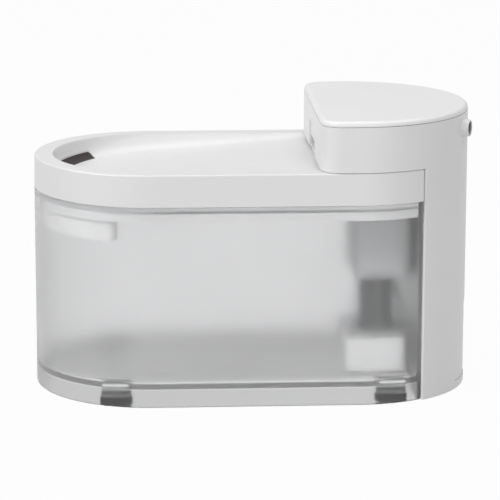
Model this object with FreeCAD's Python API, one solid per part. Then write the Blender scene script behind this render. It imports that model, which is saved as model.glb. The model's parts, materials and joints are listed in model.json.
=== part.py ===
"""Cordless pet water fountain: a frosted tank, a sloped drinking tray and a battery column with a tower.

Millimetres. The object stands on Z = 0, X runs along its length towards the column, and the origin is at
the middle of the stadium-shaped outline on the surface that it stands on.
"""
import FreeCAD, Part
import math
import os
from FreeCAD import Vector as V

os.makedirs("parts", exist_ok=True)

# Overall sizes
length = 270.0
width = 144.0
foot_standout = 1.0
seam_gap = 0.3
running_gap = 0.3

# Heights, from the surface that the object stands on
tank_height = 125.2
tray_height = 19.8
tower_height = 27.8
lid_height = 3.2

# Walls
tank_wall = 2.6
tank_taper = 0.5
tank_floor = 2.3
tank_floor_level = 12.5
tray_wall = 2.4
housing_wall = 2.4
edge_round = 1.0

# Column and tower
column_length = 33.4
tower_length = 97.0
tower_corner = 13.0
lid_edge_round = 2.4
lid_inset = 0.3
lid_lip = 3.0
lid_lip_wall = 1.8
lid_lip_gap = 0.1
gasket_inset = 0.9
gasket_width = 1.2

# Drinking tray
rim_width = 11.5
trough_under_tower = 16.0
trough_corner = 18.0
trough_depth_left = 14.2
trough_slope = 0.068
trough_fillet = 8.0
tray_ribs = 3
tray_rib_pitch = 35.0
tray_rib_thickness = 1.6
tray_first_rib = 90.0
skirt_depth = 10.0
skirt_wall = 1.8
drain_inner = 52.5
drain_outer = 59.6
drain_half_angle = 52.0
drain_corner = 2.0
screen_thickness = 1.6
screen_drop = 0.4
seal_thickness = 1.6
seal_width = 1.0
tray_seal_drop = 3.0
tray_seal_squeeze = 0.25

# Filter basket under the drain
basket_length = 50.0
basket_depth = 22.5
basket_rise = 1.5
basket_wall = 1.6
basket_corner = 5.0
basket_slot_width = 4.0
basket_slot_length = 22.0
basket_slot_pitch = 9.0
basket_slots_each_side = 3
filter_height = 13.0
filter_edge = 1.2

# Feet
foot_length = 19.6
foot_depth = 10.0
foot_height = 7.8
foot_corner = 4.0
foot_post_inset = 1.0
foot_past_end_centre = 23.0
foot_from_column = 18.6
left_foot_from_side = 12.2275
right_foot_from_side = 13.1665
column_pad_radius = 6.0
column_pad_from_end = 23.0
column_pad_from_side = 12.7541
end_pad_from_end = 11.0

# Pump, placed from the column's front
pump_from_column = 25.1
pump_y = -20.0
pump_length = 37.0
pump_end_gap = 8.6
pump_reach_front = 30.0
pump_reach_back = 34.0
pump_pad_height = 2.4
pump_pad_radius = 4.0
pump_pad_draft = 1.2
pump_pad_inset = 3.0
pump_base_height = 2.0
pump_shell_height = 18.5
pump_corner = 6.0
pump_edge = 1.4
pump_wall = 1.8
pump_slots = 5
pump_slot_width = 3.0
pump_slot_pitch = 10.0
pump_slot_start = 12.0
pump_slot_low = 3.0
pump_slot_high = 6.0
foam_gap = 0.2
foam_top_gap = 0.5
foam_passage_gap = 0.4
motor_radius = 10.3
motor_height = 37.5
motor_edge = 1.2
motor_bore = 5.2
shroud_wall = 1.2
shroud_top_radius = 12.4
shroud_waist_radius = 16.4
shroud_bottom_radius = 18.5
shroud_waist = 17.0
shroud_above_motor = 1.5
volute_radius = 11.0
volute_wall = 1.6
volute_height = 13.0
volute_fit = 0.1
outlet_pipe_radius = 3.0
outlet_pipe_rise = 5.0
outlet_pipe_step = 1.0
impeller_radius = 8.4
impeller_hub = 3.0
impeller_height = 6.0
impeller_disc = 1.0
impeller_gap = 1.2
impeller_blades = 6
blade_thickness = 1.0
blade_inset = 0.4
magnet_radius = 4.6
magnet_height = 20.0
magnet_gap = 1.0
rotor_room = 3.0
shaft_radius = 1.2
shaft_clearance = 0.05
shaft_end_gap = 0.2
bush_radius = 2.6
bush_height = 3.0
riser_from_pump = 25.0
riser_radius = 6.0
riser_wall = 1.4
riser_clearance = 0.5
riser_into_tower = 11.4
coil_inner = 5.0
coil_outer = 13.0
coil_thickness = 1.2
receiver_inner = 4.0
receiver_outer = 7.0
coil_gap = 1.2

# Outlet in the tower's flat face
outlet_half_width = 18.5
outlet_height = 17.0
outlet_past_riser = 9.5
outlet_corner = 1.5
outlet_inset = 0.8
outlet_slot_height = 6.0
outlet_wall = 1.6
light_radius = 1.5
light_gap = 0.05
light_y = -23.0
light_above_tower = 6.4
light_tail = 2.0

# Mode button and its collar, on the rounded end
button_angle = -22.0
button_above_tower = 18.8
button_radius = 4.1
button_hole_gap = 0.4
button_hole_depth = 9.0
button_collar_gap = 0.25
button_standout = 4.7
button_root = 4.0
button_travel = 1.0
button_dome = 1.0
collar_base_radius = 6.8
collar_tip_radius = 5.0
collar_standout = 3.9
collar_root = 3.0
switch_size = 6.0
switch_depth = 4.0
switch_gap = 0.3
bracket_thickness = 1.6

# Rear cover and what lies behind it
cover_half_width = 34.0
cover_arch_level = 23.0
cover_bottom = 6.0
cover_inset = 0.4
socket_level = 78.0
socket_radius = 4.2
socket_gap = 0.1
socket_length = 10.0
socket_inset = 1.0
plug_bore_radius = 2.6
plug_bore_depth = 7.0
cell_radius = 9.2
cell_height = 66.0
cell_pitch = 20.0
cell_from_front = 12.9
cell_gap = 0.2
frame_inset = 2.6
frame_height = 3.0
frame_floor = 1.4
board_below_tray = 40.5
board_height = 52.0
board_half_width = 34.0
board_thickness = 1.6
board_standoff = 1.5
board_post_radius = 2.0
board_post_inset = 5.0
board_parts = [
    # Across, up from the board's foot, width, height, depth
    (-20.0, 14.0, 12.0, 12.0, 2.0),
    (8.0, 10.0, 16.0, 10.0, 4.0),
    (18.0, 32.0, 8.0, 8.0, 6.0),
]
base_gap = 0.1
screw_radius = 1.5
screw_hole_gap = 0.2
screw_head_radius = 2.8
screw_head_height = 0.6
screw_into_frame = 1.4
screw_from_front = 6.4
screw_from_side = 8.205
end_screw_from_end = 7.0
end_screw_y = 14.0

# How far a cutting shape runs past the face that it cuts
overcut = 1.0

# Sizes that follow from the ones above
half_width = width / 2
end_centre = length / 2 - half_width
column_front = length / 2 - column_length
tower_front = length / 2 - tower_length
tank_bottom = foot_standout
tank_top = tank_bottom + tank_height
tray_bottom = tank_top + seam_gap
tray_top = tray_bottom + tray_height
tower_bottom = tray_top + seam_gap
tower_top = tower_bottom + tower_height
lid_bottom = tower_top + seam_gap
lid_top = lid_bottom + lid_height
tank_end = column_front - running_gap
tank_low_radius = half_width - tank_taper
tank_inside_radius = tank_low_radius - tank_wall
skirt_radius = tank_inside_radius - running_gap
basket_radius = skirt_radius - skirt_wall - running_gap
basket_right = basket_length - length / 2
basket_bottom = tray_bottom - basket_depth
floor_top = tank_floor_level + tank_floor
trough_radius = half_width - rim_width
trough_right = tower_front + trough_under_tower
trough_low = tray_top - trough_depth_left
pump_x = column_front - pump_from_column
pump_right = column_front - pump_end_gap
pump_left = pump_right - pump_length
pump_front = pump_y - pump_reach_front
pump_back = pump_y + pump_reach_back
pump_bottom = floor_top + running_gap
pump_base_level = pump_bottom + pump_pad_height
pump_shell_level = pump_base_level + pump_base_height
pump_top = pump_shell_level + pump_shell_height
motor_bottom = pump_shell_level + volute_height
motor_top = motor_bottom + motor_height
rotor_top = motor_bottom + magnet_height + rotor_room
riser_y = pump_y + riser_from_pump
riser_bore = riser_radius - riser_wall
riser_top = tower_bottom + riser_into_tower
outlet_pipe_level = pump_shell_level + outlet_pipe_rise
outlet_back = pump_x + outlet_past_riser
inside_radius = half_width - housing_wall
light_z = tower_bottom + light_above_tower
button_level = tower_bottom + button_above_tower
board_bottom = tray_bottom - board_below_tray
plate_top = tank_bottom + housing_wall
cell_x = column_front + cell_from_front


def save(node, shape):
    """Write one sub-part and say how many solids it has."""
    shape = shape.removeSplitter()
    shape.exportStep("parts/" + node + ".step")
    print(node, len(shape.Solids), round(shape.Volume / 1000, 2), "cm3", shape.isValid())


def box(x0, y0, z0, x1, y1, z1):
    """A block between two corners."""
    return Part.makeBox(x1 - x0, y1 - y0, z1 - z0, V(x0, y0, z0))


def disc(radius, z0, z1, x=0.0, y=0.0):
    """An upright cylinder."""
    return Part.makeCylinder(radius, z1 - z0, V(x, y, z0))


def rod(radius, start, direction, reach):
    """A cylinder along any direction."""
    return Part.makeCylinder(radius, reach, start, direction)


def stadium_wire(radius, z):
    """The object's outline: two half circles joined by straight sides."""
    left = [V(-end_centre, radius, z), V(-end_centre - radius, 0, z), V(-end_centre, -radius, z)]
    right = [V(end_centre, -radius, z), V(end_centre + radius, 0, z), V(end_centre, radius, z)]
    edges = [
        Part.Arc(*left).toShape(),
        Part.makeLine(left[2], right[0]),
        Part.Arc(*right).toShape(),
        Part.makeLine(right[2], left[0]),
    ]
    return Part.Wire(edges)


def stadium(radius, z0, z1, top_radius=None):
    """A solid of the outline, with straight or drafted sides."""
    if top_radius is None:
        return Part.Face(stadium_wire(radius, z0)).extrude(V(0, 0, z1 - z0))
    return Part.makeLoft([stadium_wire(radius, z0), stadium_wire(top_radius, z1)], True, True)


def outline_half_width(x):
    """Half of the outline's width at a place along the length."""
    past_end_centre = max(0.0, abs(x) - end_centre)
    return math.sqrt(half_width**2 - past_end_centre**2)


def left_of(x, shape):
    """The part of a shape on the tank's side of a plane across the length."""
    bounds = shape.BoundBox
    keep = box(
        bounds.XMin - overcut, -width, bounds.ZMin - overcut, x, width, bounds.ZMax + overcut
    )
    return shape.common(keep)


def right_of(x, shape):
    """The part of a shape on the column's side of a plane across the length."""
    bounds = shape.BoundBox
    keep = box(
        x, -width, bounds.ZMin - overcut, bounds.XMax + overcut, width, bounds.ZMax + overcut
    )
    return shape.common(keep)


def rounded_block(x0, y0, z0, x1, y1, z1, corner):
    """A block with rounded upright corners."""
    block = box(x0, y0, z0, x1, y1, z1)
    return block.makeFillet(corner, upright_edges(block))


def upright_edges(shape):
    """Straight edges that run along Z."""
    found = []
    for edge in shape.Edges:
        ends = [vertex.Point for vertex in edge.Vertexes]
        if len(ends) == 2 and math.hypot(ends[0].x - ends[1].x, ends[0].y - ends[1].y) < 1e-6:
            found.append(edge)
    return found


def edges_at(shape, z):
    """Edges that lie whole at one height."""
    found = []
    for edge in shape.Edges:
        bounds = edge.BoundBox
        if abs(bounds.ZMin - z) < 1e-4 and abs(bounds.ZMax - z) < 1e-4:
            found.append(edge)
    return found


def sector(inner, outer, half_angle, z0, z1, corner):
    """A crescent about the left end's centre, open towards the trough."""
    turn = math.radians(half_angle)
    centre = V(-end_centre, 0, z0)

    def at(radius, angle):
        return centre + V(-radius * math.cos(angle), radius * math.sin(angle), 0)

    edges = [
        Part.Arc(at(outer, -turn), at(outer, 0), at(outer, turn)).toShape(),
        Part.makeLine(at(outer, turn), at(inner, turn)),
        Part.Arc(at(inner, turn), at(inner, 0), at(inner, -turn)).toShape(),
        Part.makeLine(at(inner, -turn), at(outer, -turn)),
    ]
    solid = Part.Face(Part.Wire(edges)).extrude(V(0, 0, z1 - z0))
    return solid.makeFillet(corner, upright_edges(solid))


def tower_outline(offset, z0, z1, front=tower_front):
    """The tower's plan: straight front with round corners, and the round end of the outline."""
    block = right_of(front + offset, stadium(half_width - offset, z0, z1))
    corners = []
    for edge in upright_edges(block):
        if edge.Vertexes[0].Point.x < front + offset + edge_round:
            corners.append(edge)
    return block.makeFillet(tower_corner - offset, corners)


def column_outline(offset, z0, z1):
    """The column's plan: the round end behind a flat front."""
    return right_of(column_front + offset, stadium(half_width - offset, z0, z1))


def tank():
    """Frosted tub with a raised floor, a skirt below it and a flat end against the column."""
    outer = stadium(tank_low_radius, tank_bottom, tank_top, half_width)
    outer = left_of(tank_end, outer)
    outer = outer.makeFillet(2 * edge_round, edges_at(outer, tank_bottom))
    inside = stadium(tank_inside_radius, floor_top, tank_top + overcut, half_width - tank_wall)
    inside = left_of(tank_end - tank_wall, inside)
    inside = inside.makeFillet(2 * tank_wall, edges_at(inside, floor_top))
    under = stadium(tank_inside_radius, tank_bottom - overcut, tank_floor_level)
    under = left_of(tank_end - tank_wall, under)
    shell = outer.cut(inside).cut(under)
    for x, y in foot_places():
        shell = shell.fuse(foot_block(x, y, foot_height, tank_floor_level, foot_post_inset))
    return shell


def foot_places():
    """Plan places of the tank's feet."""
    left = -end_centre - foot_past_end_centre
    right = column_front - foot_from_column
    left_side = outline_half_width(left) - left_foot_from_side
    right_side = outline_half_width(right) - right_foot_from_side
    return [(left, -left_side), (left, left_side), (right, -right_side), (right, right_side)]


def foot_block(x, y, z0, z1, inset=0.0):
    """One foot or the post that it is pressed on, at its place under the floor."""
    half_length = foot_length / 2 - inset
    half_depth = foot_depth / 2 - inset
    return rounded_block(
        x - half_length, y - half_depth, z0, x + half_length, y + half_depth, z1, foot_corner - inset
    )


def tank_feet():
    """Four rubber feet."""
    return Part.makeCompound([foot_block(x, y, 0.0, foot_height) for x, y in foot_places()])


def trough(grow):
    """The water space of the tray, or the same grown by a wall: a sloped floor in a broad fillet."""
    radius = trough_radius + grow
    reach = trough_right + grow
    top = tray_top + overcut
    face = left_of(reach, stadium(radius, tray_bottom - tray_height, top))
    corners = []
    for edge in upright_edges(face):
        if edge.Vertexes[0].Point.x > reach - overcut:
            corners.append(edge)
    space = face.makeFillet(trough_corner + grow, corners)
    drop = grow * math.sqrt(1 + trough_slope**2)
    x0 = -end_centre - half_width
    x1 = end_centre + half_width
    z0 = trough_low - drop
    profile = [
        V(x0, -width, z0),
        V(x1, -width, z0 + trough_slope * (x1 - x0)),
        V(x1, -width, z0 - length),
        V(x0, -width, z0 - length),
        V(x0, -width, z0),
    ]
    below = Part.Face(Part.makePolygon(profile)).extrude(V(0, 2 * width, 0))
    space = space.cut(below)
    floor_edges = []
    for edge in space.Edges:
        on_floor = True
        for vertex in edge.Vertexes:
            if abs(vertex.Point.z - (z0 + trough_slope * (vertex.Point.x - x0))) > 1e-3:
                on_floor = False
        if on_floor:
            floor_edges.append(edge)
    return space.makeFillet(trough_fillet + grow, floor_edges)


def riser_hole(radius, z0, z1):
    """The round passage of the riser."""
    return disc(radius, z0, z1, pump_x, riser_y)


def drinking_tray():
    """Moulded tray: broad rim, trough that slopes to a crescent drain, hollow below, skirt in the tank."""
    outer = left_of(tank_end, stadium(half_width, tray_bottom, tray_top, half_width - running_gap))
    outer = outer.makeFillet(edge_round, edges_at(outer, tray_top))
    hollow = stadium(half_width - tray_wall, tray_bottom - overcut, tray_top - tray_wall)
    hollow = left_of(tank_end - tray_wall, hollow)
    hollow = hollow.cut(trough(tray_wall))
    for number in range(tray_ribs):
        x = tray_first_rib - length / 2 + number * tray_rib_pitch
        hollow = hollow.cut(box(x, -width, tray_bottom, x + tray_rib_thickness, width, tray_top))
    skirt = ring(skirt_radius, skirt_wall, tray_bottom - skirt_depth, tray_bottom + tray_wall)
    flange = ring(half_width - tray_wall, half_width, tray_bottom, tray_bottom + tray_wall)
    passage = ring_inside(skirt_radius - skirt_wall, tray_bottom - overcut, tray_bottom + tray_wall + overcut)
    flange = flange.cut(passage)
    body = outer.cut(hollow)
    body = body.fuse(flange).fuse(skirt)
    body = body.cut(trough(0.0))
    low = trough_low - trough_depth_left
    body = body.cut(sector(drain_inner, drain_outer, drain_half_angle, low, tray_top, drain_corner))
    hole = riser_hole(riser_radius + riser_clearance, tray_bottom - tray_height, tray_top + overcut)
    return body.cut(hole)


def ring(radius, wall, z0, z1):
    """A wall that follows the tank's inside."""
    return ring_inside(radius, z0, z1).cut(ring_inside(radius - wall, z0 - overcut, z1 + overcut))


def ring_inside(radius, z0, z1):
    """The space inside such a wall."""
    end = tank_end - (half_width - radius)
    return left_of(end, stadium(radius, z0, z1))


def drain_screen():
    """Fine dark screen in the drain, which keeps to the curve of the trough."""
    gap = seam_gap / 2
    inner = drain_inner + gap
    outer = drain_outer - gap
    half_angle = drain_half_angle - math.degrees(gap / inner)
    low = trough_low - trough_depth_left
    block = sector(inner, outer, half_angle, low, tray_top, drain_corner - gap)
    return block.common(trough(screen_drop + screen_thickness)).cut(trough(screen_drop))


def tray_seal():
    """Soft ring round the skirt, just under the tank's top edge."""
    z1 = tray_bottom - tray_seal_drop
    z0 = z1 - seal_thickness
    outer = ring_inside(skirt_radius + tray_seal_squeeze, z0, z1)
    return outer.cut(ring_inside(skirt_radius, z0 - overcut, z1 + overcut))


def basket_space(inset, z0, z1):
    """Plan of the filter basket: the tank's left end cut off square."""
    block = left_of(basket_right - inset, stadium(basket_radius - inset, z0, z1))
    return block.makeFillet(basket_corner - inset, upright_edges(block))


def filter_basket():
    """Open basket that hangs in the tray's skirt, with a slotted floor."""
    top = tray_bottom + basket_rise
    floor = basket_bottom + basket_wall
    shell = basket_space(0.0, basket_bottom, top)
    shell = shell.cut(basket_space(basket_wall, floor, top + overcut))
    middle = (basket_right - end_centre - basket_radius) / 2
    x0 = middle - basket_slot_length / 2
    x1 = middle + basket_slot_length / 2
    for number in range(-basket_slots_each_side, basket_slots_each_side + 1):
        y0 = number * basket_slot_pitch - basket_slot_width / 2
        y1 = y0 + basket_slot_width
        shell = shell.cut(box(x0, y0, basket_bottom - overcut, x1, y1, floor + overcut))
    return shell


def filter_pad():
    """Replaceable filter that lies in the basket."""
    z0 = basket_bottom + basket_wall
    pad = basket_space(basket_wall + running_gap, z0, z0 + filter_height)
    return pad.makeChamfer(filter_edge, edges_at(pad, z0 + filter_height))


def pump_block(inset, z0, z1):
    """Plan of the pump's lower housing."""
    return rounded_block(
        pump_left + inset,
        pump_front + inset,
        z0,
        pump_right - inset,
        pump_back - inset,
        z1,
        pump_corner - inset,
    )


def pump_housing():
    """White lower housing with intake slots on its free side."""
    shell = pump_block(0.0, pump_shell_level, pump_top)
    shell = shell.makeChamfer(pump_edge, edges_at(shell, pump_top))
    shell = shell.cut(pump_block(pump_wall, pump_shell_level - overcut, pump_top - pump_wall))
    low = pump_shell_level + pump_slot_low
    high = pump_top - pump_slot_high
    for number in range(pump_slots):
        y = pump_front + pump_slot_start + number * pump_slot_pitch
        slot = box(pump_left - overcut, y, low, pump_left + pump_wall + overcut, y + pump_slot_width, high)
        shell = shell.cut(slot)
    shell = shell.cut(disc(volute_radius + volute_fit, pump_shell_level, pump_top + overcut, pump_x, pump_y))
    return shell.cut(riser_hole(riser_bore, pump_shell_level, pump_top + overcut))


def pump_base():
    """Bottom plate that closes the lower housing."""
    return pump_block(0.0, pump_base_level, pump_shell_level)


def pump_pads():
    """Four rubber pads that keep the pump still on the tank floor."""
    pads = []
    inset = pump_pad_radius + pump_pad_inset
    tip = pump_pad_radius - pump_pad_draft
    for x in (pump_left + inset, pump_right - inset):
        for y in (pump_front + inset, pump_back - inset):
            pads.append(Part.makeCone(pump_pad_radius, tip, pump_pad_height, V(x, y, pump_bottom)))
    return Part.makeCompound(pads)


def pump_foam():
    """Foam that strains the water inside the lower housing, with passages for what runs through it."""
    z0 = pump_shell_level + foam_gap
    z1 = pump_top - pump_wall - foam_top_gap
    low = z0 - overcut
    high = z1 + overcut
    foam = pump_block(pump_wall + foam_gap, z0, z1)
    foam = foam.cut(disc(volute_radius + foam_passage_gap, low, high, pump_x, pump_y))
    foam = foam.cut(riser_hole(riser_bore + foam_passage_gap, low, high))
    half = outlet_pipe_radius + foam_passage_gap
    foam = foam.cut(box(pump_x - half, pump_y, low, pump_x + half, riser_y, outlet_pipe_level + half))
    coil_space = pump_right - pump_wall - coil_thickness - coil_gap
    return foam.cut(box(coil_space, pump_front, low, pump_right, pump_back, high))


def pump_volute():
    """Chamber that the impeller turns in, with its outlet towards the riser."""
    z0 = pump_shell_level
    cup = disc(volute_radius, z0, motor_bottom, pump_x, pump_y)
    start = V(pump_x, pump_y, outlet_pipe_level)
    pipe = rod(outlet_pipe_radius, start, V(0, 1, 0), riser_from_pump)
    elbow = riser_hole(riser_bore - running_gap, z0, pump_top)
    cup = cup.fuse(pipe).fuse(elbow)
    chamber = disc(volute_radius - volute_wall, z0 + volute_wall, motor_bottom + overcut, pump_x, pump_y)
    pipe_bore = rod(outlet_pipe_radius - volute_wall / 2, start, V(0, 1, 0), riser_from_pump)
    elbow_floor = outlet_pipe_level - outlet_pipe_radius + outlet_pipe_step
    elbow_bore = riser_hole(riser_bore - volute_wall, elbow_floor, pump_top + overcut)
    cup = cup.cut(chamber).cut(pipe_bore).cut(elbow_bore)
    return cup.cut(disc(bush_radius, z0 - overcut, z0 + volute_wall + overcut, pump_x, pump_y))


def motor_can():
    """Sealed dark motor body with the rotor's bore, open to the chamber below."""
    can = disc(motor_radius, motor_bottom, motor_top, pump_x, pump_y)
    can = can.makeChamfer(motor_edge, edges_at(can, motor_top))
    can = can.cut(disc(motor_bore, motor_bottom - overcut, rotor_top, pump_x, pump_y))
    return can.cut(disc(bush_radius, rotor_top - overcut, rotor_top + bush_height, pump_x, pump_y))


def shaft_bushes():
    """Two bushes that carry the rotor's shaft."""
    bushes = []
    for z, tall in ((pump_shell_level, volute_wall), (rotor_top, bush_height)):
        bush = disc(bush_radius, z, z + tall, pump_x, pump_y)
        hole = disc(shaft_radius + shaft_clearance, z - overcut, z + tall + overcut, pump_x, pump_y)
        bushes.append(bush.cut(hole))
    return Part.makeCompound(bushes)


def pump_shroud():
    """Clear bell round the motor, from the lower housing to above the motor's top."""
    outer = [
        V(shroud_bottom_radius, 0, pump_top),
        V(shroud_waist_radius, 0, pump_top + shroud_waist),
        V(shroud_top_radius, 0, motor_top + shroud_above_motor),
    ]
    inner = [point - V(shroud_wall, 0, 0) for point in reversed(outer)]
    profile = Part.makePolygon(outer + inner + outer[:1])
    bell = Part.Face(profile).revolve(V(0, 0, 0), V(0, 0, 1), 360)
    return bell.translated(V(pump_x, pump_y, 0))


def impeller():
    """Hub with straight radial blades under a thin disc."""
    z0 = pump_shell_level + volute_wall + impeller_gap
    z1 = z0 + impeller_height
    reach = impeller_radius - blade_inset
    half = blade_thickness / 2
    wheel = disc(impeller_hub, z0, z1, pump_x, pump_y)
    wheel = wheel.fuse(disc(impeller_radius, z1 - impeller_disc, z1, pump_x, pump_y))
    for number in range(impeller_blades):
        blade = box(impeller_hub / 2, -half, z0, reach, half, z1)
        blade.rotate(V(0, 0, 0), V(0, 0, 1), number * 360.0 / impeller_blades)
        wheel = wheel.fuse(blade.translated(V(pump_x, pump_y, 0)))
    return wheel.cut(disc(shaft_radius, z0 - overcut, z1 + overcut, pump_x, pump_y))


def rotor_magnet():
    """Magnet of the motor, on the impeller's shaft."""
    z0 = motor_bottom + magnet_gap
    z1 = z0 + magnet_height
    magnet = disc(magnet_radius, z0, z1, pump_x, pump_y)
    return magnet.cut(disc(shaft_radius, z0 - overcut, z1 + overcut, pump_x, pump_y))


def rotor_shaft():
    """Shaft that turns in the two bushes."""
    top = rotor_top + bush_height - 2 * shaft_end_gap
    return disc(shaft_radius, pump_shell_level + shaft_end_gap, top, pump_x, pump_y)


def riser_tube():
    """Tube that takes the water up through the tray into the tower."""
    tube = riser_hole(riser_radius, pump_top, riser_top)
    return tube.cut(riser_hole(riser_bore, pump_top - overcut, riser_top + overcut))


def riser_seal():
    """Ring that seals the riser in the tray."""
    z1 = tray_top - tray_wall
    z0 = z1 - seal_thickness
    outer = riser_hole(riser_radius + riser_clearance + seal_width, z0, z1)
    return outer.cut(riser_hole(riser_radius + running_gap, z0 - overcut, z1 + overcut))


def coil(x, y, z, inner, outer):
    """A flat wound ring that faces along X."""
    start = V(x, y, z)
    return rod(outer, start, V(1, 0, 0), coil_thickness).cut(rod(inner, start, V(1, 0, 0), coil_thickness))


def receiver_coil():
    """Pick-up coil in the pump, against the column."""
    level = (pump_shell_level + pump_top) / 2
    return coil(pump_right - pump_wall - coil_thickness, pump_y, level, receiver_inner, receiver_outer)


def power_coil():
    """Coil in the column that powers the pump through both walls."""
    level = (pump_shell_level + pump_top) / 2
    return coil(column_front + housing_wall, pump_y, level, coil_inner, coil_outer)


def button_axis():
    """Direction of the button, outwards from the round end."""
    turn = math.radians(button_angle)
    return V(math.cos(turn), math.sin(turn), 0)


def on_button_axis(distance):
    """A point on the button's axis at a distance from the round end's centre."""
    return V(end_centre, 0, button_level) + button_axis() * distance


def arch(grow):
    """Arch-shaped block across the round end: straight sides and a half-round top."""
    half = cover_half_width + grow
    low = cover_bottom - grow
    back = [V(column_front, -half, low), V(column_front, half, low)]
    back += [V(column_front, half, cover_arch_level), V(column_front, -half, cover_arch_level)]
    crown = V(column_front, 0, cover_arch_level + half)
    edges = [
        Part.makeLine(back[3], back[0]),
        Part.makeLine(back[0], back[1]),
        Part.makeLine(back[1], back[2]),
        Part.Arc(back[2], crown, back[3]).toShape(),
    ]
    return Part.Face(Part.Wire(edges)).extrude(V(length / 2, 0, 0))


def housing():
    """Column and tower in one moulding, open on top and below, with the outlet, button and cover holes."""
    outer = column_outline(0.0, tank_bottom, tower_top)
    outer = outer.fuse(tower_outline(0.0, tower_bottom, tower_top)).removeSplitter()
    front_edges = []
    for edge in upright_edges(outer):
        if abs(edge.Vertexes[0].Point.x - column_front) < edge_round:
            front_edges.append(edge)
    outer = outer.makeFillet(edge_round, front_edges)
    hollow = column_outline(housing_wall, tank_bottom - overcut, tower_top + overcut)
    hollow = hollow.fuse(tower_outline(housing_wall, tower_bottom + housing_wall, tower_top + overcut))
    shell = outer.cut(hollow)
    half = outlet_half_width
    lintel = tower_bottom + outlet_height
    mouth = box(tower_front - overcut, -half, tower_bottom - overcut, outlet_back, half, lintel)
    shell = shell.cut(mouth.makeFillet(outlet_corner, edges_at(mouth, lintel)))
    hole_start = on_button_axis(half_width - button_hole_depth)
    button_hole = rod(button_radius + button_hole_gap, hole_start, button_axis(), half_width)
    light_hole = rod(light_radius, V(tower_front - overcut, light_y, light_z), V(1, 0, 0), tower_corner)
    socket_hole = rod(socket_radius, V(column_front, 0, socket_level), V(1, 0, 0), half_width)
    shell = shell.cut(button_hole).cut(light_hole)
    socket_hole = right_of(column_front + 2 * housing_wall, socket_hole)
    return shell.cut(socket_hole).cut(arch(seam_gap))


def rear_cover():
    """Arch-shaped cover that closes the battery space."""
    skin = stadium(half_width - cover_inset, 0, tower_bottom)
    skin = skin.cut(stadium(inside_radius, -overcut, tower_bottom + overcut))
    cover = skin.common(arch(0.0))
    return right_of(column_front + housing_wall, cover)


def base_plate():
    """Plate that closes the column from below."""
    plate = column_outline(housing_wall + base_gap, tank_bottom, plate_top)
    for x, y in screw_places():
        plate = plate.cut(disc(screw_radius + screw_hole_gap, 0, plate_top + overcut, x, y))
    return plate


def screw_places():
    """Plan places of the base plate's screws."""
    x = column_front + screw_from_front
    side = outline_half_width(x) - screw_from_side
    end = length / 2 - end_screw_from_end
    return [(x, -side), (x, side), (end, -end_screw_y), (end, end_screw_y)]


def base_screws():
    """Screws that hold the base plate to the battery frame."""
    screws = []
    for x, y in screw_places():
        head = disc(screw_head_radius, tank_bottom - screw_head_height, tank_bottom, x, y)
        shank = disc(screw_radius, tank_bottom, plate_top + screw_into_frame, x, y)
        screws.append(head.fuse(shank))
    return Part.makeCompound(screws)


def column_pads():
    """Rubber pads under the column."""
    x = length / 2 - column_pad_from_end
    side = outline_half_width(x) - column_pad_from_side
    places = [(x, -side), (x, side), (length / 2 - end_pad_from_end, 0.0)]
    return Part.makeCompound([disc(column_pad_radius, 0.0, tank_bottom, x, y) for x, y in places])


def battery_frame():
    """Frame that holds the cells on the base plate and takes its screws."""
    z0 = plate_top
    frame = column_outline(housing_wall + frame_inset, z0, z0 + frame_height)
    for x, y in screw_places():
        frame = frame.cut(disc(screw_radius, z0 - overcut, z0 + screw_into_frame + foam_gap, x, y))
    for y in cell_places():
        frame = frame.cut(disc(cell_radius + cell_gap, z0 + frame_floor, z0 + 2 * frame_height, cell_x, y))
    return frame


def cell_places():
    """Places of the cells across the column."""
    return [number * cell_pitch for number in (-1, 0, 1)]


def battery_cells():
    """Three upright cells."""
    z0 = plate_top + frame_floor
    return Part.makeCompound([disc(cell_radius, z0, z0 + cell_height, cell_x, y) for y in cell_places()])


def control_board():
    """Circuit board on posts on the column's front wall, with its tallest parts."""
    back = column_front + housing_wall
    x0 = back + board_standoff
    x1 = x0 + board_thickness
    z1 = board_bottom + board_height
    board = box(x0, -board_half_width, board_bottom, x1, board_half_width, z1)
    for y, rise, wide, tall, deep in board_parts:
        z = board_bottom + rise
        board = board.fuse(box(x1, y, z, x1 + deep, y + wide, z + tall))
    side = board_half_width - board_post_inset
    for y in (-side, side):
        for z in (board_bottom + board_post_inset, z1 - board_post_inset):
            board = board.fuse(rod(board_post_radius, V(back, y, z), V(1, 0, 0), board_standoff))
    return board


def charging_socket():
    """Round charging socket in the column's back, above the cover."""
    front = length / 2 - socket_inset
    along = V(1, 0, 0)
    body = rod(socket_radius - socket_gap, V(front - socket_length, 0, socket_level), along, socket_length)
    bore = rod(plug_bore_radius, V(front - plug_bore_depth, 0, socket_level), along, socket_length)
    return body.cut(bore)


def button_collar():
    """Raised collar round the button, fitted to the round end."""
    start = on_button_axis(half_width - collar_root)
    reach = collar_standout + collar_root
    collar = Part.makeCone(collar_base_radius, collar_tip_radius, reach, start, button_axis())
    collar = collar.cut(disc(half_width, tower_bottom, lid_top, end_centre, 0))
    return collar.cut(rod(button_radius + button_collar_gap, start, button_axis(), 2 * reach))


def mode_button():
    """Dark domed push button."""
    start = on_button_axis(half_width - button_root)
    stem = rod(button_radius, start, button_axis(), button_standout + button_root - button_dome)
    tip = on_button_axis(half_width + button_standout - button_dome)
    radius = (button_radius**2 + button_dome**2) / (2 * button_dome)
    ball = Part.makeSphere(radius, tip + button_axis() * (button_dome - radius))
    cap = ball.common(rod(button_radius, tip, button_axis(), 2 * button_dome))
    return stem.fuse(cap)


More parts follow.
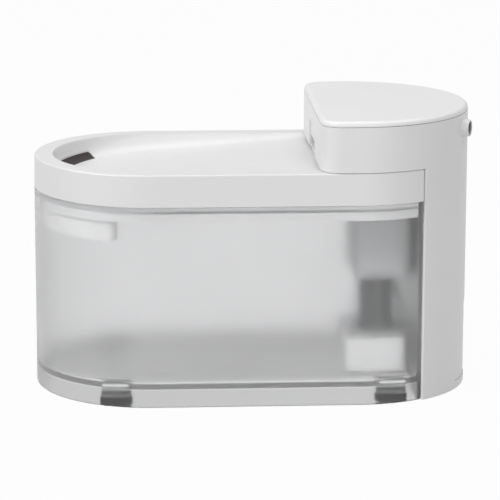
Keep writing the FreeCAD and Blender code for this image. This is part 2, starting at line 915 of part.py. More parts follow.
def button_switch():
    """Small switch behind the button, on a bracket that stands on the housing's wall."""
    reach = half_width - button_root - button_travel - switch_gap
    half = switch_size / 2
    inner = button_radius + button_hole_gap
    outer = inner + bracket_thickness
    block = box(-switch_depth, -half, -half, 0, half, half)
    block = block.fuse(box(-switch_depth - bracket_thickness, -outer, -half, -switch_depth, outer, half))
    for y in (-outer, inner):
        leg = box(-switch_depth, y, -half, half_width - reach, y + bracket_thickness, half)
        block = block.fuse(leg)
    block.rotate(V(0, 0, 0), V(0, 0, 1), button_angle)
    block = block.translated(on_button_axis(reach))
    return block.common(disc(inside_radius, tower_bottom, tower_top, end_centre, 0))


def outlet_spout():
    """Chamber that turns the riser's water out over the trough, through a wide slot under its front."""
    half = outlet_half_width - seam_gap
    z0 = tower_bottom
    z1 = tower_bottom + outlet_height - seam_gap
    x0 = tower_front + outlet_inset
    x1 = outlet_back - seam_gap
    wall = outlet_wall
    body = box(x0, -half, z0, x1, half, z1)
    body = body.makeFillet(outlet_corner - seam_gap, edges_at(body, z1))
    inner = box(x0 + wall, -half + wall, z0 + wall, x1 - wall, half - wall, z1 - wall)
    body = body.cut(inner.makeFillet(edge_round, edges_at(inner, z1 - wall)))
    slot_top = z0 + wall + outlet_slot_height
    body = body.cut(box(x0 - overcut, -half + wall, z0 + wall, x0 + 2 * wall, half - wall, slot_top))
    return body.cut(riser_hole(riser_radius + riser_clearance, z0 - overcut, z0 + wall + overcut))


def indicator_light():
    """Light pipe beside the outlet."""
    return rod(light_radius - light_gap, V(tower_front, light_y, light_z), V(1, 0, 0), housing_wall + light_tail)


def tower_lid():
    """Top cover with a rounded edge and a lip that plugs into the tower."""
    lid = tower_outline(lid_inset, lid_bottom, lid_top)
    lid = lid.makeFillet(lid_edge_round, edges_at(lid, lid_top))
    inset = housing_wall + lid_lip_gap
    lip_bottom = lid_bottom - lid_lip
    lip = tower_outline(inset, lip_bottom, lid_bottom)
    lip = lip.cut(tower_outline(inset + lid_lip_wall, lip_bottom - overcut, lid_bottom + overcut))
    return lid.fuse(lip)


def lid_gasket():
    """Thin seal between the tower's edge and its lid."""
    outer = tower_outline(gasket_inset, tower_top, lid_bottom)
    return outer.cut(tower_outline(gasket_inset + gasket_width, tower_top - overcut, lid_bottom + overcut))


nodes = {
    "tank": tank,
    "tank_feet": tank_feet,
    "drinking_tray": drinking_tray,
    "tray_seal": tray_seal,
    "drain_screen": drain_screen,
    "filter_basket": filter_basket,
    "filter_pad": filter_pad,
    "pump_housing": pump_housing,
    "pump_base": pump_base,
    "pump_pads": pump_pads,
    "pump_foam": pump_foam,
    "pump_volute": pump_volute,
    "pump_shroud": pump_shroud,
    "motor_can": motor_can,
    "shaft_bushes": shaft_bushes,
    "impeller": impeller,
    "rotor_magnet": rotor_magnet,
    "rotor_shaft": rotor_shaft,
    "receiver_coil": receiver_coil,
    "riser_tube": riser_tube,
    "riser_seal": riser_seal,
    "housing": housing,
    "tower_lid": tower_lid,
    "lid_gasket": lid_gasket,
    "outlet_spout": outlet_spout,
    "indicator_light": indicator_light,
    "button_collar": button_collar,
    "mode_button": mode_button,
    "button_switch": button_switch,
    "rear_cover": rear_cover,
    "base_plate": base_plate,
    "base_screws": base_screws,
    "column_pads": column_pads,
    "battery_frame": battery_frame,
    "battery_cells": battery_cells,
    "control_board": control_board,
    "power_coil": power_coil,
    "charging_socket": charging_socket,
}

for node, make in nodes.items():
    save(node, make())
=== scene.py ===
# %% [markdown]
# A cordless pet water fountain: a frosted tank, a white drinking tray and a battery column with a tower. The
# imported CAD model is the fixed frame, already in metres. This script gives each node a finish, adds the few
# pieces that the solids lack, and sets the light and the camera.

# %% Load the frame
import json
import math

import bmesh
import bpy
from mathutils import Matrix, Vector


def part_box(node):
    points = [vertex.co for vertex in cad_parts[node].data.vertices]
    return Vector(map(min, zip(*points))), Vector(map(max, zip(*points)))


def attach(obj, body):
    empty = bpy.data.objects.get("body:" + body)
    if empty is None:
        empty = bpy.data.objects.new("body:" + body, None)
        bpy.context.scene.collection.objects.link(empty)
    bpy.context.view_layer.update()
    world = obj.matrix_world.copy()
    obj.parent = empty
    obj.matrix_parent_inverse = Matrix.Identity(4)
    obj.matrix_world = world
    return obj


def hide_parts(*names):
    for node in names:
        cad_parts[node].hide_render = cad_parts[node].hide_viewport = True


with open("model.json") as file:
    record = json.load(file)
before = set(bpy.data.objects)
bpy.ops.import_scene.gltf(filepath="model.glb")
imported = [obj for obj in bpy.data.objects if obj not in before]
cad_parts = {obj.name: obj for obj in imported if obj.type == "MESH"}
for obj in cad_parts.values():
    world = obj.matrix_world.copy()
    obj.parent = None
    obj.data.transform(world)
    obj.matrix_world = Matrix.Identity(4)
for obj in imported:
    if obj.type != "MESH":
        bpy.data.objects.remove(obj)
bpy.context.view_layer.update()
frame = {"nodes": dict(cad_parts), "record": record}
nodes = frame["nodes"]

# %% [markdown]
# The pieces that this script adds have to meet the solids exactly. Their sizes could be typed again, but a
# typed size stays behind when the part changes. So they are read from the boxes of the nodes they touch.

# %% Sizes from the frame
mm = 0.001
tank_low, tank_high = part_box("tank")
tray_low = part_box("drinking_tray")[0]
feet_low, feet_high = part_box("tank_feet")
motor_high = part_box("motor_can")[1]
pump_low, pump_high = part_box("pump_housing")
cover_low, cover_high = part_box("rear_cover")
print("tank length", round((tank_high.x - tank_low.x) / mm, 1), "mm")

# %% [markdown]
# Every finish on the fountain starts from one Principled shader, which can be plastic, rubber or metal. Each
# material could be wired by hand in the shader editor. Two small helpers make the same start each time, and
# the dictionary keeps a finish under the name that the record uses for it.

# %% Helpers for materials


finishes = {}


def new_material(name):
    """A material with a Principled shader, and its tree and shader."""
    made = bpy.data.materials.new(name)
    finishes[name] = made
    made.use_nodes = True
    shader = made.node_tree.nodes["Principled BSDF"]
    return made, made.node_tree, shader


def group_tree(name, inputs, outputs):
    """A shader node group with named sockets."""
    tree = bpy.data.node_groups.new(name, "ShaderNodeTree")
    for label, kind, value in inputs:
        socket = tree.interface.new_socket(name=label, in_out="INPUT", socket_type=kind)
        socket.default_value = value
    for label, kind in outputs:
        tree.interface.new_socket(name=label, in_out="OUTPUT", socket_type=kind)
    return tree, tree.nodes.new("NodeGroupInput"), tree.nodes.new("NodeGroupOutput")


print("finishes so far", len(finishes))

# %% [markdown]
# Moulded plastic is never one even tone. The tool it was shaped in leaves a fine sparkle of roughness, and
# the wall cools unevenly, which shades it by a percent or so. An image could hold this, but it would blur up
# close. Noise in object space stays sharp and needs no unwrapping. Nearly every piece shares the effect, so
# it is one node group, which puts out a colour, a roughness and a normal.

# %% Moulded plastic group


def make_moulded_group():
    """Colour, roughness and normal of a satin moulded surface."""
    tree, given, result = group_tree(
        "moulded_surface",
        [
            ("Color", "NodeSocketColor", (0.8, 0.8, 0.8, 1)),
            ("Roughness", "NodeSocketFloat", 0.4),
            ("Grain size", "NodeSocketFloat", 1600.0),
            ("Grain depth", "NodeSocketFloat", 0.02),
        ],
        [("Color", "NodeSocketColor"), ("Roughness", "NodeSocketFloat"), ("Normal", "NodeSocketVector")],
    )
    make, link = tree.nodes.new, tree.links.new
    place = make("ShaderNodeTexCoord")
    cloud = make("ShaderNodeTexNoise")
    cloud.inputs["Scale"].default_value = 18.0
    grain = make("ShaderNodeTexNoise")
    shade = make("ShaderNodeMapRange")
    shade.inputs["To Min"].default_value = 0.97
    shade.inputs["To Max"].default_value = 1.03
    tone = make("ShaderNodeVectorMath")
    tone.operation = "SCALE"
    spread = make("ShaderNodeMapRange")
    spread.inputs["To Min"].default_value = -0.04
    spread.inputs["To Max"].default_value = 0.04
    rough = make("ShaderNodeMath")
    bump = make("ShaderNodeBump")
    bump.inputs["Distance"].default_value = 0.0001
    link(place.outputs["Object"], cloud.inputs["Vector"])
    link(place.outputs["Object"], grain.inputs["Vector"])
    link(given.outputs["Grain size"], grain.inputs["Scale"])
    link(cloud.outputs["Fac"], shade.inputs["Value"])
    link(given.outputs["Color"], tone.inputs[0])
    link(shade.outputs["Result"], tone.inputs["Scale"])
    link(grain.outputs["Fac"], spread.inputs["Value"])
    link(given.outputs["Roughness"], rough.inputs[0])
    link(spread.outputs["Result"], rough.inputs[1])
    link(given.outputs["Grain depth"], bump.inputs["Strength"])
    link(grain.outputs["Fac"], bump.inputs["Height"])
    link(tone.outputs["Vector"], result.inputs["Color"])
    link(rough.outputs["Value"], result.inputs["Roughness"])
    link(bump.outputs["Normal"], result.inputs["Normal"])
    return tree


moulded_group = make_moulded_group()
print("moulded group sockets", [item.name for item in moulded_group.interface.items_tree])

# %% [markdown]
# A satin plastic is the group above with its own colour and grain. The numbers that are the same all over a
# piece go into the group's inputs here, so two pieces of one colour can still differ in how fine they feel.

# %% Moulded plastic


def moulded(name, color, roughness=0.4, grain_size=1600.0, grain_depth=0.05):
    """A satin moulded plastic of one colour."""
    made, tree, shader = new_material(name)
    group = tree.nodes.new("ShaderNodeGroup")
    group.node_tree = moulded_group
    group.inputs["Color"].default_value = (*color, 1)
    group.inputs["Roughness"].default_value = roughness
    group.inputs["Grain size"].default_value = grain_size
    group.inputs["Grain depth"].default_value = grain_depth
    tree.links.new(group.outputs["Color"], shader.inputs["Base Color"])
    tree.links.new(group.outputs["Roughness"], shader.inputs["Roughness"])
    tree.links.new(group.outputs["Normal"], shader.inputs["Normal"])
    return made


print("grain comes from the group", moulded_group.name)

# %% [markdown]
# The drain's screen is fine woven wire, and the coils inside are wound wire. Every wire could be a thin tube,
# but at this size they would only slow the render. Two waves that cross each other look the same from a
# hand's width away. The higher of the two waves is the wire, and the place between them is the hole.

# %% Woven wire group


def make_weave_group():
    """Height and mask of fine crossed wires."""
    tree, given, result = group_tree(
        "woven_wire",
        [("Wires per metre", "NodeSocketFloat", 900.0)],
        [("Wire", "NodeSocketFloat")],
    )
    make, link = tree.nodes.new, tree.links.new
    place = make("ShaderNodeTexCoord")
    across = make("ShaderNodeTexWave")
    across.bands_direction = "X"
    along = make("ShaderNodeTexWave")
    along.bands_direction = "Y"
    crossing = make("ShaderNodeMath")
    crossing.operation = "MAXIMUM"
    for wave in (across, along):
        link(place.outputs["Object"], wave.inputs["Vector"])
        link(given.outputs["Wires per metre"], wave.inputs["Scale"])
    link(across.outputs["Fac"], crossing.inputs[0])
    link(along.outputs["Fac"], crossing.inputs[1])
    link(crossing.outputs["Value"], result.inputs["Wire"])
    return tree


weave_group = make_weave_group()
print("weave group sockets", [item.name for item in weave_group.interface.items_tree])

# %% [markdown]
# Foam has round open pores, felt has short soft fibres, and drawn steel has long fine lines. They could be
# three textures. All of them are cells of a different size and stretch, so one Voronoi group covers them,
# and the Stretch input says how long a cell is along each axis.

# %% Cell pattern group


def make_cell_group():
    """A 0 to 1 pattern of cells, stretched along X."""
    tree, given, result = group_tree(
        "soft_cells",
        [("Cells per metre", "NodeSocketFloat", 700.0), ("Stretch", "NodeSocketVector", (1, 1, 1))],
        [("Cell", "NodeSocketFloat")],
    )
    make, link = tree.nodes.new, tree.links.new
    place = make("ShaderNodeTexCoord")
    size = make("ShaderNodeVectorMath")
    size.operation = "MULTIPLY"
    cells = make("ShaderNodeTexVoronoi")
    link(place.outputs["Object"], size.inputs[0])
    link(given.outputs["Stretch"], size.inputs[1])
    link(size.outputs["Vector"], cells.inputs["Vector"])
    link(given.outputs["Cells per metre"], cells.inputs["Scale"])
    link(cells.outputs["Distance"], result.inputs["Cell"])
    return tree


cell_group = make_cell_group()
print("cell group sockets", [item.name for item in cell_group.interface.items_tree])

# %% [markdown]
# A patterned finish takes either group. The pattern mixes two colours, one for the hollow and one for the
# ridge, and the same pattern lifts the surface a little, so the light agrees with the colour.

# %% Patterned finish
pattern_height = 0.3 * mm


def patterned(name, group, settings, output, low, high, roughness, depth, metallic=0.0):
    """A material whose colour and bump follow one pattern group."""
    made, tree, shader = new_material(name)
    pattern = tree.nodes.new("ShaderNodeGroup")
    pattern.node_tree = group
    for label, value in settings.items():
        pattern.inputs[label].default_value = value
    mix = tree.nodes.new("ShaderNodeMix")
    mix.data_type = "RGBA"
    mix.inputs["A"].default_value = (*low, 1)
    mix.inputs["B"].default_value = (*high, 1)
    bump = tree.nodes.new("ShaderNodeBump")
    bump.inputs["Strength"].default_value = depth
    bump.inputs["Distance"].default_value = pattern_height
    shader.inputs["Roughness"].default_value = roughness
    shader.inputs["Metallic"].default_value = metallic
    tree.links.new(pattern.outputs[output], mix.inputs["Factor"])
    tree.links.new(pattern.outputs[output], bump.inputs["Height"])
    tree.links.new(mix.outputs["Result"], shader.inputs["Base Color"])
    tree.links.new(bump.outputs["Normal"], shader.inputs["Normal"])
    return made


print("a pattern is", round(pattern_height / mm, 2), "mm high")

# %% [markdown]
# The white parts of the real fountain are one plastic, and the tray and the lid are separate mouldings.
# They could share one material. Each has its own here: the lid is a little lighter, as painted light on
# its lit top, and the tray a hair darker, as painted shade; this also keeps the fine seam between them
# readable. The pump and the basket, inside the tank, are a little lighter too, as painted light against
# the shade there. White is about 0.8 here and not 1, because real white plastic never returns all of the
# light.

# %% White plastics
moulded("white_plastic", (0.80, 0.80, 0.80), 0.38)
moulded("tray_plastic", (0.79, 0.79, 0.79), 0.36)
moulded("lid_plastic", (0.85, 0.85, 0.85), 0.34, 2200.0, 0.04)
moulded("pump_plastic", (0.82, 0.82, 0.82), 0.4)
moulded("basket_plastic", (0.86, 0.86, 0.86), 0.42)
print("white plastics", sorted(finishes))

# %% [markdown]
# The small parts are dark plastic, rubber, ceramic and the like. The button is glossier than the rest, so it
# catches one small highlight. Rubber has a deeper grain, which keeps it dull from every side.

# %% Dark plastics, rubber and small parts
moulded("dark_plastic", (0.014, 0.014, 0.016), 0.4)
moulded("button_black", (0.03, 0.03, 0.033), 0.12, 400.0, 0.01)
moulded("black_rubber", (0.012, 0.012, 0.012), 0.6, 900.0, 0.2)
moulded("grey_seal", (0.05, 0.05, 0.05), 0.6, 900.0, 0.1)
moulded("ceramic", (0.72, 0.69, 0.62), 0.2, 2600.0, 0.02)
moulded("magnet", (0.035, 0.035, 0.038), 0.45, 1400.0, 0.15)
moulded("battery_wrap", (0.02, 0.09, 0.25), 0.3, 500.0, 0.05)
print("opaque finishes", len(finishes))

# %% [markdown]
# The screen in the drain is the darkest thing on the white tray. Its holes are almost black and its wires are
# a warm dark grey. The foam round the pump's inlet is black too, but coarser and quite dull.

# %% Screen and foam
patterned(
    "dark_screen",
    weave_group,
    {"Wires per metre": 420.0},
    "Wire",
    (0.020, 0.013, 0.013),
    (0.06, 0.048, 0.048),
    0.6,
    0.5,
)
patterned(
    "dark_foam",
    cell_group,
    {"Cells per metre": 900.0},
    "Cell",
    (0.01, 0.01, 0.011),
    (0.05, 0.05, 0.052),
    0.9,
    0.8,
)
print("screen and foam", finishes["dark_screen"].name, finishes["dark_foam"].name)

# %% [markdown]
# The filter is pale felt, with its fibres lying along one side, so its cells are stretched that way. The
# circuit board is green lacquer over copper, where broad cells stand for the tracks beneath.

# %% Felt and circuit board
patterned(
    "filter_felt",
    cell_group,
    {"Cells per metre": 500.0, "Stretch": (0.3, 1.0, 1.0)},
    "Cell",
    (0.62, 0.62, 0.6),
    (0.86, 0.86, 0.84),
    0.95,
    0.5,
)
patterned(
    "circuit_board",
    cell_group,
    {"Cells per metre": 160.0},
    "Cell",
    (0.02, 0.14, 0.05),
    (0.05, 0.26, 0.1),
    0.35,
    0.1,
)
print("felt and board", finishes["filter_felt"].name, finishes["circuit_board"].name)

# %% [markdown]
# Copper and steel are metals, so Metallic is 1 and the colour is the colour of the reflection. The coils are
# wound from bright wire, and the screws and the shaft are drawn steel, whose lines run along the length.

# %% Copper and steel
patterned(
    "copper_coil",
    weave_group,
    {"Wires per metre": 500.0},
    "Wire",
    (0.35, 0.13, 0.05),
    (0.85, 0.42, 0.2),
    0.3,
    0.6,
    1.0,
)
patterned(
    "steel",
    cell_group,
    {"Cells per metre": 900.0, "Stretch": (1.0, 1.0, 0.05)},
    "Cell",
    (0.42, 0.42, 0.43),
    (0.62, 0.62, 0.63),
    0.28,
    0.1,
    1.0,
)
print("finishes with the patterned ones", len(finishes))

# %% [markdown]
# The tank's skirt, below its raised floor, looks greyer than the wall above, because nothing bright lies
# behind it, and that grey is painted in as shade. A second material would need the solid cut in two. A mask
# on the height does it without a cut: 0 above the floor, rising smoothly to the given share below it, where
# it mixes in a darker grey of painted shade.

# %% Skirt painted shade
skirt_top = 12.6 * mm
skirt_blend = 0.6 * mm
# The grey of the painted shade on the skirt.
skirt_painted_shade_grey = (0.45, 0.452, 0.456, 1)


def paint_skirt_shade(tree, color, share):
    """A colour with painted shade, greyer below the tank's raised floor."""
    make, link = tree.nodes.new, tree.links.new
    place = make("ShaderNodeTexCoord")
    axes = make("ShaderNodeSeparateXYZ")
    low = make("ShaderNodeMapRange")
    low.interpolation_type = "SMOOTHSTEP"
    low.inputs["From Min"].default_value = skirt_top + skirt_blend
    low.inputs["From Max"].default_value = skirt_top - skirt_blend
    low.inputs["To Max"].default_value = share
    shade = make("ShaderNodeMix")
    shade.data_type = "RGBA"
    shade.inputs["B"].default_value = skirt_painted_shade_grey
    link(place.outputs["Object"], axes.inputs["Vector"])
    link(axes.outputs["Z"], low.inputs["Value"])
    link(low.outputs["Result"], shade.inputs["Factor"])
    link(color, shade.inputs["A"])
    return shade.outputs["Result"]


print("skirt up to", round(skirt_top / mm, 1), "mm")

# %% [markdown]
# A path tracer's lamps can't shine through a rough transparent wall by themselves, so the pump inside would
# sit in the dark. Caustics could bring the light in, but they are slow and full of noise. Instead, a shadow
# ray sees a Transparent shader for most of its strength, and every other ray sees the plastic. The Light
# Path node that tells them apart stays in the material, where the export can read it.

# %% Light through the wall


def let_light_in(tree, shader, shadow_pass):
    """Lets a share of each lamp's light pass the surface."""
    make, link = tree.nodes.new, tree.links.new
    rays = make("ShaderNodeLightPath")
    part = make("ShaderNodeMath")
    part.operation = "MULTIPLY"
    part.inputs[1].default_value = shadow_pass
    clear = make("ShaderNodeBsdfTransparent")
    mix = make("ShaderNodeMixShader")
    link(rays.outputs["Is Shadow Ray"], part.inputs[0])
    link(part.outputs["Value"], mix.inputs["Fac"])
    link(shader.outputs["BSDF"], mix.inputs[1])
    link(clear.outputs["BSDF"], mix.inputs[2])
    link(mix.outputs["Shader"], tree.nodes["Material Output"].inputs["Surface"])


print("groups ready", [tree.name for tree in bpy.data.node_groups])

# %% [markdown]
# Frosted plastic lets light through but blurs what lies behind it, as the tank does with its pump and filter
# basket. Volume scattering would be truer and much slower. The Principled shader's transmission with a rough
# surface gives the same blur, and a refractive index near 1.3 keeps the shapes from bending too far.

# %% Frosted plastic
frost_grain_size = 2400.0
frost_grain_depth = 0.02


def frosted(name, color, roughness, transmission, shadow_pass, ior=1.3, skirt_painted_shade_share=0.0):
    """Translucent moulded plastic, rough enough to blur what lies behind it."""
    made, tree, shader = new_material(name)
    link = tree.links.new
    group = tree.nodes.new("ShaderNodeGroup")
    group.node_tree = moulded_group
    group.inputs["Color"].default_value = (*color, 1)
    group.inputs["Roughness"].default_value = roughness
    group.inputs["Grain size"].default_value = frost_grain_size
    group.inputs["Grain depth"].default_value = frost_grain_depth
    shader.inputs["Transmission Weight"].default_value = transmission
    shader.inputs["IOR"].default_value = ior
    link(group.outputs["Roughness"], shader.inputs["Roughness"])
    link(group.outputs["Normal"], shader.inputs["Normal"])
    # The base colour takes the skirt's painted shade, at the share given.
    link(paint_skirt_shade(tree, group.outputs["Color"], skirt_painted_shade_share), shader.inputs["Base Color"])
    let_light_in(tree, shader, shadow_pass)
    return made


# The tank's frost carries a 0.62 share of painted shade below its raised floor.
frosted("frosted_plastic", (0.855, 0.857, 0.861), 0.3, 0.94, 0.9, 1.3, 0.62)
frosted("clear_plastic", (0.97, 0.975, 0.98), 0.08, 0.97, 0.95, 1.2)
frosted("smoke_plastic", (0.86, 0.863, 0.87), 0.45, 0.7, 0.7)
frosted("clear_silicone", (0.85, 0.86, 0.87), 0.5, 0.6, 0.5)
frosted("light_pipe", (0.95, 0.96, 0.98), 0.1, 0.5, 0.5)
print("finishes in all", len(finishes))

# %% [markdown]
# Which finish belongs to which node could be a second list here, but two lists drift apart. The record that
# was packed with the part already names a material slot for every node, so the finish is looked up there.

# %% Give each node its finish
slot_of_node = {row["node"]: row["material_slot"] for row in frame["record"]["subparts"]}
for name, node in nodes.items():
    node.data.materials.clear()
    node.data.materials.append(finishes[slot_of_node[name]])
print("nodes with a finish", len(nodes))

# %% [markdown]
# The pieces that this script adds are smooth moulded shells. A cube with a bevel would be quicker, but its
# corners would follow the bevel and not the maker's radius. So each shell is lofted: a ring of points is
# made for each level, and neighbouring rings are joined by a band of faces. First come the rings' points.

# %% Ring with round corners


def rounded_ring(x0, y0, x1, y1, corner, steps=8):
    """Points round a rectangle with round corners."""
    left, right = x0 + corner, x1 - corner
    front, back = y0 + corner, y1 - corner
    points = []
    for quarter, (x, y) in enumerate([(right, back), (left, back), (left, front), (right, front)]):
        for step in range(steps + 1):
            angle = math.pi / 2 * (quarter + step / steps)
            points.append((x + corner * math.cos(angle), y + corner * math.sin(angle)))
    return points


print("points in a ring", len(rounded_ring(0, 0, 1, 1, 0.2)))

# %% [markdown]
# The loft itself is built with bmesh, which is Blender's way to make a mesh face by face. The same could be
# done with lists of points and faces, but bmesh can also fill the open ends and turn all faces outward.

# %% Lofted shells


def lofted_shell(name, levels):
    """A skin through rings of points, one ring for each level, open at both ends."""
    sheet = bmesh.new()
    rings = []
    for z, ring in levels:
        rings.append([sheet.verts.new((x, y, z)) for x, y in ring])
    for lower, upper in zip(rings, rings[1:]):
        for index in range(len(lower)):
            after = (index + 1) % len(lower)
            sheet.faces.new((lower[index], lower[after], upper[after], upper[index]))
    mesh = bpy.data.meshes.new(name)
    sheet.to_mesh(mesh)
    sheet.free()
    for face in mesh.polygons:
        face.use_smooth = True
    piece = bpy.data.objects.new(name, mesh)
    bpy.context.scene.collection.objects.link(piece)
    return piece


def close_ends(piece, turn_to_x=False):
    """Fills a shell's two ends, and can lay its levels along X instead of Z."""
    sheet = bmesh.new()
    sheet.from_mesh(piece.data)
    bmesh.ops.holes_fill(sheet, edges=sheet.edges, sides=0)
    if turn_to_x:
        for vert in sheet.verts:
            vert.co = (vert.co.z, vert.co.x, vert.co.y)
    bmesh.ops.recalc_face_normals(sheet, faces=sheet.faces)
    sheet.to_mesh(piece.data)
    sheet.free()


# %% [markdown]
# A grey shape shows through the frost over the pump, round the riser: the tower above keeps the light out
# there. That shade is painted in as a thin grey cover, closed round its sides, with soft shoulders at both
# ends. The shoulders come from a few levels whose inset shrinks to nothing, and the wall's thickness comes
# from a Solidify modifier, so it stays editable.

# %% Riser cover of painted shade
cover_above_motor = 3 * mm
cover_below_tray = 1 * mm
cover_wall = 1.2 * mm
cover_corner = 6 * mm
cover_from_pump_left = 5 * mm
cover_from_pump_front = 8 * mm
cover_past_pump_right = 4 * mm
cover_shoulder = [(0.0, 3.0), (0.6, 1.4), (2.0, 0.4), (4.0, 0.0)]


def cover_levels():
    """Heights and insets of the cover, from its lower shoulder to its upper one."""
    bottom = motor_high.z + cover_above_motor
    top = tray_low.z - cover_below_tray
    lower = [(bottom + rise * mm, inset * mm) for rise, inset in cover_shoulder]
    upper = [(top - rise * mm, inset * mm) for rise, inset in reversed(cover_shoulder)]
    return lower + upper


def cover_ring(inset):
    """The cover's plan outline, drawn in by an inset."""
    left = pump_low.x + cover_from_pump_left + inset
    front = pump_low.y + cover_from_pump_front + inset
    right = pump_high.x + cover_past_pump_right - inset
    return rounded_ring(left, front, right, pump_high.y - inset, cover_corner - inset)


def make_painted_shade_riser_cover():
    """Grey cover of painted shade round the riser, from the motor up to the tray."""
    cover = lofted_shell("painted_shade_riser_cover", [(z, cover_ring(inset)) for z, inset in cover_levels()])
    wall = cover.modifiers.new("wall", "SOLIDIFY")
    wall.thickness = cover_wall
    wall.offset = -1.0
    cover.data.materials.append(finishes["smoke_plastic"])
    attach(cover, "pump")
    return cover


painted_shade_riser_cover = make_painted_shade_riser_cover()
print("riser cover points", len(painted_shade_riser_cover.data.vertices))

# %% [markdown]
# On the real fountain the wall between the tank and the cells is closed. The imported column has an arch-shaped
# opening there, which is a fault of the solid. The solid could not be changed any more, so a flat panel
# closes the arch, a hair inside its edge and flush with both faces of the wall. It is a separate piece, and
# not a patch in the node's mesh, so that anyone can see what was added.

# %% Column front panel
panel_gap = 0.02 * mm
panel_wall = 2.4 * mm
running_gap = 0.3 * mm


def arch_points(half, low, spring, steps=32):
    """Points of an upright arch: a flat bottom, straight sides and a half circle on top."""
    points = [(-half, low), (half, low)]
    for step in range(steps + 1):
        angle = math.pi * step / steps
        points.append((half * math.cos(angle), spring + half * math.sin(angle)))
    return points


def make_front_panel():
    """The closed wall in front of the cells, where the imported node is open."""
    start = tank_high.x + running_gap
    outline = arch_points(cover_high.y - panel_gap, cover_low.z + panel_gap, cover_high.z - cover_high.y)
    panel = lofted_shell("column_front_panel", [(start, outline), (start + panel_wall, outline)])
    close_ends(panel, turn_to_x=True)
    for face in panel.data.polygons:
        face.use_smooth = False
    panel.data.materials.append(finishes["white_plastic"])
    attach(panel, "housing")
    return panel


front_panel = make_front_panel()
print("front panel points", len(front_panel.data.vertices))

# %% [markdown]
# Each foot is a soft black pad with a rounded lower edge, pressed on a pale post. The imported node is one
# block to the tank's floor. Colouring its lower part would leave a hard edge with no gap. So two shells
# replace the node: the pad, and the post between the pad and the floor, a little narrower than the pad.

# %% Feet
foot_half_length = 9.8 * mm
foot_half_depth = 5.0 * mm
foot_corner = 4.0
pad_profile = [(0.0, 0.8), (0.3, 0.3), (0.8, 0.0), (4.6, 0.0), (5.2, 0.4)]
post_profile = [(5.2, 1.0), (5.3, 0.6), (feet_high.z / mm, 0.6)]
foot_layers = [("pad", pad_profile, "black_rubber"), ("post", post_profile, "smoke_plastic")]


def foot_centres():
    """Plan centres of the four feet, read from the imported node's corners."""
    ends = (feet_low.x + foot_half_length, feet_high.x - foot_half_length)
    sides = (feet_low.y + foot_half_depth, feet_high.y - foot_half_depth)
    return [(x, y) for x in ends for y in sides]


def foot_ring(x, y, inset):
    """A foot's plan outline, drawn in by an inset in millimetres."""
    half_x = foot_half_length - inset * mm
    half_y = foot_half_depth - inset * mm
    return rounded_ring(x - half_x, y - half_y, x + half_x, y + half_y, (foot_corner - inset) * mm)


def make_feet():
    """A rubber pad and its pale post at each foot's place."""
    for number, (x, y) in enumerate(foot_centres()):
        for kind, profile, finish in foot_layers:
            levels = [(z * mm, foot_ring(x, y, inset)) for z, inset in profile]
            piece = lofted_shell(f"foot_{kind}_{number}", levels)
            close_ends(piece)
            piece.data.materials.append(finishes[finish])
            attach(piece, "tank")
            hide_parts("tank_feet")


make_feet()
print("feet at", [(round(x, 3), round(y, 3)) for x, y in foot_centres()])

# %% [markdown]
# The photograph was taken with a long lens from about two metres, looking down thirteen degrees. A camera
# could be placed by eye, but then no edge would line up for certain. The rim, the seam, the base and the lid
# were fitted instead, which gave the place, three angles and a focal length in pixels. Blender wants the
# focal length in millimetres, so it is scaled by the sensor's width.

# %% The camera
lens_pixels = 3280.0
frame_pixels = 500.0
sensor_width = 36.0
look_down = 0.226
turn = -0.0688
roll = 0.0041
camera_place = (-0.1383, -2.0015, 0.5446)
far_limit = 50.0


def make_camera():
    """A pinhole camera at the photograph's viewpoint."""
    data = bpy.data.cameras.new("camera")
    data.sensor_width = sensor_width
    data.lens = sensor_width * lens_pixels / frame_pixels
    data.clip_end = far_limit
    camera = bpy.data.objects.new("camera", data)
    bpy.context.scene.collection.objects.link(camera)
    aim = Matrix.Rotation(turn, 4, "Z") @ Matrix.Rotation(math.pi / 2 - look_down, 4, "X")
    aim = aim @ Matrix.Rotation(roll, 4, "Z")
    camera.matrix_world = Matrix.Translation(camera_place) @ aim
    bpy.context.scene.camera = camera
    return camera


camera = make_camera()
print("lens", round(camera.data.lens, 1), "mm")

# %% [markdown]
# The fountain stands on a white sweep that is whiter than any lit paper. Turning the lamps up would wash out
# the white plastic too. Instead, the floor is a plain grey sheet for the light that falls on it, which keeps
# the soft shadow, and nearly white where the camera or a reflection sees it. Light Path tells which is which.

# %% Floor
floor_reach = 6.0
floor_grey = 0.42
floor_roughness = 0.9
white_share = 0.97


def floor_sheet():
    """A flat square under the fountain."""
    mesh = bpy.data.meshes.new("floor")
    near, far = -floor_reach, floor_reach
    mesh.from_pydata([(near, near, 0), (far, near, 0), (far, far, 0), (near, far, 0)], [], [(0, 1, 2, 3)])
    floor = bpy.data.objects.new("floor", mesh)
    bpy.context.scene.collection.objects.link(floor)
    return floor


def floor_paper():
    """Grey to the light and nearly white to the camera."""
    made, tree, shader = new_material("floor")
    make, link = tree.nodes.new, tree.links.new
    shader.inputs["Base Color"].default_value = (floor_grey, floor_grey, floor_grey, 1)
    shader.inputs["Roughness"].default_value = floor_roughness
    glow = make("ShaderNodeEmission")
    rays = make("ShaderNodeLightPath")
    seen = make("ShaderNodeMath")
    seen.operation = "MAXIMUM"
    part = make("ShaderNodeMath")
    part.operation = "MULTIPLY"
    part.inputs[1].default_value = white_share
    mix = make("ShaderNodeMixShader")
    link(rays.outputs["Is Camera Ray"], seen.inputs[0])
    link(rays.outputs["Is Glossy Ray"], seen.inputs[1])
    link(seen.outputs[0], part.inputs[0])
    link(part.outputs[0], mix.inputs["Fac"])
    link(shader.outputs["BSDF"], mix.inputs[1])
    link(glow.outputs["Emission"], mix.inputs[2])
    link(mix.outputs["Shader"], tree.nodes["Material Output"].inputs["Surface"])
    return made


floor = floor_sheet()
floor.data.materials.append(floor_paper())
print("floor", round(2 * floor_reach, 1), "m wide")

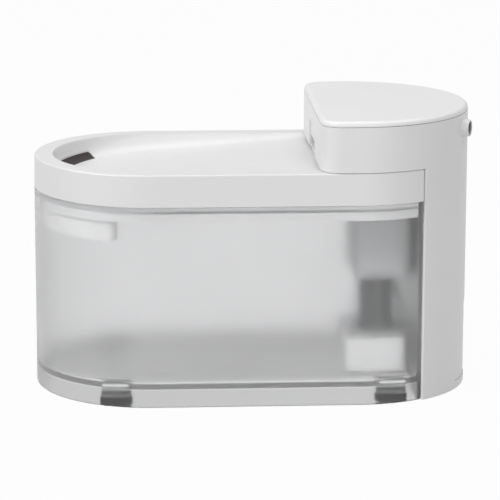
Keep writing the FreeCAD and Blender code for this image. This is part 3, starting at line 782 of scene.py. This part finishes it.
# %% [markdown]
# The world is the studio's even light, which comes from everywhere and keeps the shadows pale. The camera
# sees it as plain white, so the picture has no horizon. As on the floor, that is a second background for
# camera rays only, and it adds no light to the fountain.

# %% World
world_strength = 0.52


def make_world():
    """Even studio light, white to the camera."""
    world = bpy.data.worlds.new("studio")
    world.use_nodes = True
    tree = world.node_tree
    light = tree.nodes["Background"]
    light.inputs["Color"].default_value = (1, 1, 1, 1)
    light.inputs["Strength"].default_value = world_strength
    white = tree.nodes.new("ShaderNodeBackground")
    white.inputs["Color"].default_value = (1, 1, 1, 1)
    white.inputs["Strength"].default_value = 1.0
    rays = tree.nodes.new("ShaderNodeLightPath")
    mix = tree.nodes.new("ShaderNodeMixShader")
    tree.links.new(rays.outputs["Is Camera Ray"], mix.inputs["Fac"])
    tree.links.new(light.outputs["Background"], mix.inputs[1])
    tree.links.new(white.outputs["Background"], mix.inputs[2])
    tree.links.new(mix.outputs["Shader"], tree.nodes["World Output"].inputs["Surface"])
    bpy.context.scene.world = world


make_world()
print("world strength", world_strength)

# %% [markdown]
# Three soft lamps shape the white plastic. The key is high on the left, so the tray's rim and the tower's
# left side are the brightest. A low, weaker lamp in front opens the shade on the column, and one overhead
# lights the lid and the trough. Broad square lamps are used because small ones draw hard shadows.

# %% Lamps
lamp_target = Vector((0, 0, 0.09))


def softbox(name, place, size, power):
    """A square lamp that faces the fountain."""
    data = bpy.data.lights.new(name, "AREA")
    data.size = size
    data.energy = power
    lamp = bpy.data.objects.new(name, data)
    bpy.context.scene.collection.objects.link(lamp)
    lamp.location = place
    lamp.rotation_euler = (lamp_target - Vector(place)).to_track_quat("-Z", "Y").to_euler()
    return lamp


softbox("key_left", (-1.4, -0.9, 1.4), 1.0, 18.0)
softbox("fill_front", (0.5, -1.7, 0.25), 1.0, 8.0)
softbox("top", (0.1, 0.2, 1.8), 1.4, 9.0)
print("lamps", [lamp.name for lamp in bpy.data.lights])

# %% [markdown]
# The Standard view shows each colour about as it is written. The filmic views would grey the whites, and
# most of this fountain is white.

# %% View
bpy.context.scene.view_settings.view_transform = "Standard"
print("view", bpy.context.scene.view_settings.view_transform)
